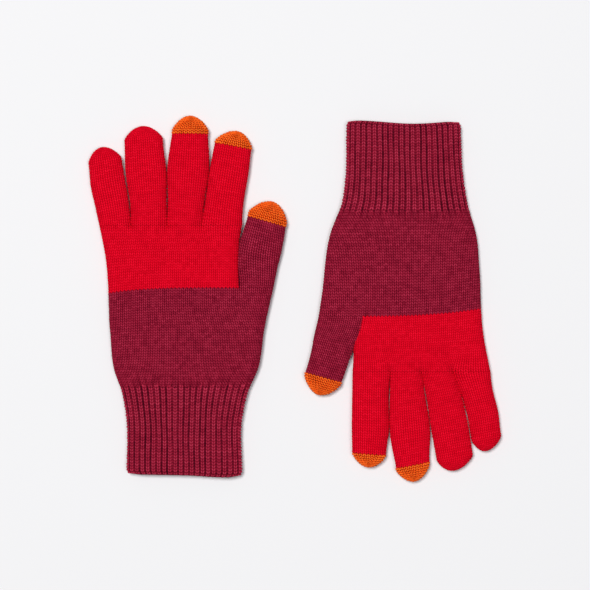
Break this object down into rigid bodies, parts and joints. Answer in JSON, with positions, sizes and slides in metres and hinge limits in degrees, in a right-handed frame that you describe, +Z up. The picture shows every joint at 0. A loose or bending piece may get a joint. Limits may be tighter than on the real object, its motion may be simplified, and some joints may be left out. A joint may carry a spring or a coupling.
{
  "type": "pair of touchscreen gloves",
  "caption": "Pair of seamless knitted gloves with rib cuffs, a two-colour hand and conductive thumb, index and middle fingertips, lying flat.",
  "frame": {"origin": "middle of the pair's outline, on the surface it lies on", "axes": "+X across both gloves, from the left glove to the right one; +Y along the left glove from its cuff to its fingers; +Z up, away from the surface"},
  "size_m": [0.2756, 0.2444, 0.011],
  "materials": {
    "maroon_rib_knit": "matte rib knit",
    "red_plain_knit": "matte plain knit",
    "maroon_plain_knit": "matte plain knit",
    "orange_conductive_knit": "matte plain knit with conductive fibre",
    "elastic_thread": "covered elastic thread"
  },
  "bodies": {
    "left_hand": {"left_lower_hand": "maroon_plain_knit", "left_upper_hand": "red_plain_knit", "left_wrist": "maroon_plain_knit", "left_crotch_stitches": "red_plain_knit", "left_pinky_base": "red_plain_knit", "left_ring_base": "red_plain_knit", "left_middle_base": "red_plain_knit", "left_index_base": "red_plain_knit", "left_thumb_base": "maroon_plain_knit"},
    "left_cuff": {"left_cuff": "maroon_rib_knit", "left_cuff_edge": "maroon_rib_knit", "left_cuff_elastic": "elastic_thread"},
    "left_pinky": {"left_pinky": "red_plain_knit"},
    "left_ring": {"left_ring": "red_plain_knit"},
    "left_middle": {"left_middle": "red_plain_knit", "left_middle_tip": "orange_conductive_knit"},
    "left_index": {"left_index": "red_plain_knit", "left_index_tip": "orange_conductive_knit"},
    "left_thumb": {"left_thumb": "maroon_plain_knit", "left_thumb_tip": "orange_conductive_knit"},
    "right_hand": {"right_lower_hand": "maroon_plain_knit", "right_upper_hand": "red_plain_knit", "right_wrist": "maroon_plain_knit", "right_crotch_stitches": "red_plain_knit", "right_pinky_base": "red_plain_knit", "right_ring_base": "red_plain_knit", "right_middle_base": "red_plain_knit", "right_index_base": "red_plain_knit", "right_thumb_base": "maroon_plain_knit"},
    "right_cuff": {"right_cuff": "maroon_rib_knit", "right_cuff_edge": "maroon_rib_knit", "right_cuff_elastic": "elastic_thread"},
    "right_pinky": {"right_pinky": "red_plain_knit"},
    "right_ring": {"right_ring": "red_plain_knit"},
    "right_middle": {"right_middle": "red_plain_knit", "right_middle_tip": "orange_conductive_knit"},
    "right_index": {"right_index": "red_plain_knit", "right_index_tip": "orange_conductive_knit"},
    "right_thumb": {"right_thumb": "maroon_plain_knit", "right_thumb_tip": "orange_conductive_knit"}
  },
  "joints": [
    {"name": "right_glove_lift", "type": "slide", "parent": "left_hand", "child": "right_hand", "axis": [0, 0, 1], "range_m": [0, 0.15]},
    {"name": "left_wrist_bend", "type": "hinge", "parent": "left_hand", "child": "left_cuff", "pos_m": [-0.07363, -0.05896, 0.0055], "axis": [-1, 0, 0], "range_deg": [-75, 75], "deforming": ["left_wrist"]},
    {"name": "left_pinky_curl", "type": "hinge", "parent": "left_hand", "child": "left_pinky", "pos_m": [-0.12135, 0.05633, 0.0055], "axis": [0.9839, 0.1788, 0], "range_deg": [-90, 90], "deforming": ["left_pinky_base"]},
    {"name": "left_ring_curl", "type": "hinge", "parent": "left_hand", "child": "left_ring", "pos_m": [-0.09788, 0.05535, 0.0055], "axis": [0.998, 0.0628, 0], "range_deg": [-90, 90], "deforming": ["left_ring_base"]},
    {"name": "left_middle_curl", "type": "hinge", "parent": "left_hand", "child": "left_middle", "pos_m": [-0.0735, 0.05543, 0.0055], "axis": [0.9974, -0.0715, 0], "range_deg": [-90, 90], "deforming": ["left_middle_base"]},
    {"name": "left_index_curl", "type": "hinge", "parent": "left_hand", "child": "left_index", "pos_m": [-0.04798, 0.05658, 0.0055], "axis": [0.9869, -0.1616, 0], "range_deg": [-90, 90], "deforming": ["left_index_base"]},
    {"name": "left_thumb_curl", "type": "hinge", "parent": "left_hand", "child": "left_thumb", "pos_m": [-0.0224, 0.01517, 0.0055], "axis": [0.9829, -0.184, 0], "range_deg": [-90, 90], "deforming": ["left_thumb_base"]},
    {"name": "right_wrist_bend", "type": "hinge", "parent": "right_hand", "child": "right_cuff", "pos_m": [0.07347, 0.05884, 0.0055], "axis": [1, 0, 0], "range_deg": [-75, 75], "deforming": ["right_wrist"]},
    {"name": "right_pinky_curl", "type": "hinge", "parent": "right_hand", "child": "right_pinky", "pos_m": [0.12124, -0.05649, 0.0055], "axis": [-0.9833, -0.1822, 0], "range_deg": [-90, 90], "deforming": ["right_pinky_base"]},
    {"name": "right_ring_curl", "type": "hinge", "parent": "right_hand", "child": "right_ring", "pos_m": [0.0985, -0.0566, 0.0055], "axis": [-0.9857, -0.1685, 0], "range_deg": [-90, 90], "deforming": ["right_ring_base"]},
    {"name": "right_middle_curl", "type": "hinge", "parent": "right_hand", "child": "right_middle", "pos_m": [0.07422, -0.05581, 0.0055], "axis": [-0.9954, -0.0958, 0], "range_deg": [-90, 90], "deforming": ["right_middle_base"]},
    {"name": "right_index_curl", "type": "hinge", "parent": "right_hand", "child": "right_index", "pos_m": [0.04893, -0.05485, 0.0055], "axis": [-1, 0.007, 0], "range_deg": [-90, 90], "deforming": ["right_index_base"]},
    {"name": "right_thumb_curl", "type": "hinge", "parent": "right_hand", "child": "right_thumb", "pos_m": [0.02216, -0.01536, 0.0055], "axis": [-0.9816, 0.1908, 0], "range_deg": [-90, 90], "deforming": ["right_thumb_base"]}
  ]
}
